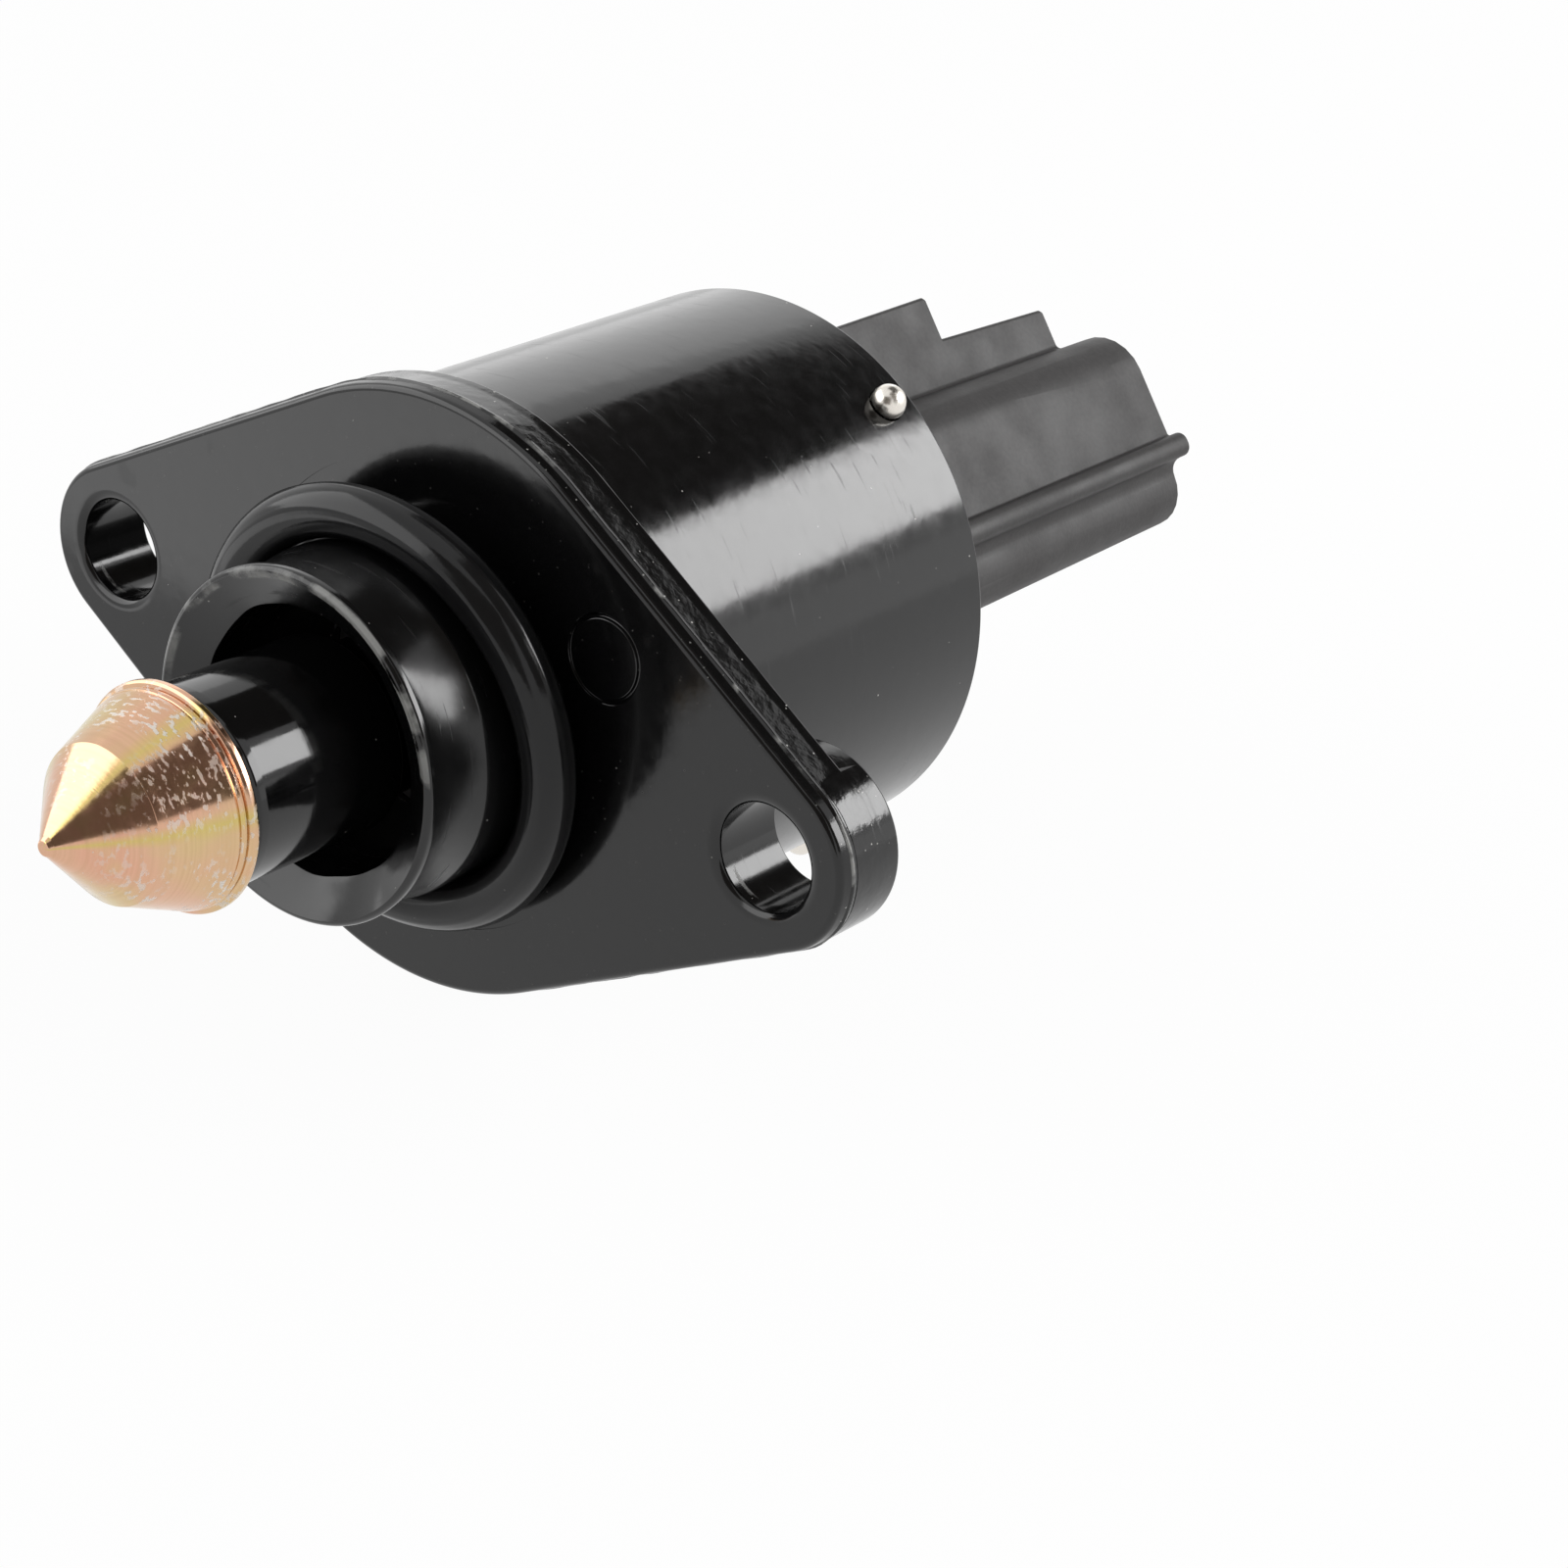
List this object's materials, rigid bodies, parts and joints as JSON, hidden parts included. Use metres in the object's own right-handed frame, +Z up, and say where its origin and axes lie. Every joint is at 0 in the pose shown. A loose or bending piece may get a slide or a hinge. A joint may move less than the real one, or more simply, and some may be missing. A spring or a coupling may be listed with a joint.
{
  "type": "idle air control valve",
  "caption": "Flanged idle air control valve: a stepper motor draws a conical metal pintle in and out along its axis; socket connector at the rear.",
  "frame": {"origin": "on the valve axis in the plane of the flange's mounting face, midway between the two bolt holes", "axes": "+Y along the valve axis from the pintle to the connector, +X through the two bolt holes, +Z up"},
  "size_m": [0.061, 0.089, 0.0364],
  "materials": {
    "black_paint": "gloss black stoved paint on die-cast metal",
    "black_rubber": "satin black moulded rubber",
    "yellow_zinc": "turned steel, zinc plated with a yellow passivate",
    "black_gloss_stem": "gloss black",
    "steel": "plain machined steel",
    "bright_steel": "polished steel",
    "natural_plastic": "natural moulded plastic",
    "brass": "machined brass",
    "magnet": "bonded ferrite",
    "tinned_steel": "pressed steel",
    "copper": "enamelled copper wire",
    "grey_black_plastic": "matt dark grey glass-filled plastic",
    "tinned_brass": "tinned brass blade"
  },
  "bodies": {
    "valve_body": {"housing": "black_paint", "seal_ring": "black_rubber", "guide_bush": "natural_plastic", "bearing_outer_race": "steel", "bow_washer": "steel", "pole_cup_front": "tinned_steel", "pole_plate_front": "tinned_steel", "pole_plate_rear": "tinned_steel", "pole_cup_rear": "tinned_steel", "bobbin_front": "natural_plastic", "bobbin_rear": "natural_plastic", "winding_front": "copper", "winding_rear": "copper", "cap_seal": "black_rubber", "connector_cap": "grey_black_plastic", "terminal_1": "tinned_brass", "terminal_2": "tinned_brass", "terminal_3": "tinned_brass", "terminal_4": "tinned_brass", "retaining_pins": "bright_steel"},
    "rotor": {"rotor_hub": "natural_plastic", "rotor_nut": "brass", "rotor_magnet": "magnet", "bearing_inner_race": "steel", "bearing_balls": "bright_steel", "bearing_cage": "brass"},
    "plunger": {"pintle": "yellow_zinc", "stem": "black_gloss_stem", "lead_screw": "steel"}
  },
  "joints": [
    {"name": "rotor_spin", "type": "hinge", "parent": "valve_body", "child": "rotor", "pos_m": [0, 0.013, 0], "axis": [0, 1, 0], "range_deg": [0, 2880]},
    {"name": "pintle_slide", "type": "slide", "parent": "valve_body", "child": "plunger", "axis": [0, 1, 0], "range_m": [0, 0.008]}
  ],
  "couplings": [
    {"joint": "rotor_spin", "follows": "pintle_slide", "rad_per_m": 6283.2}
  ]
}
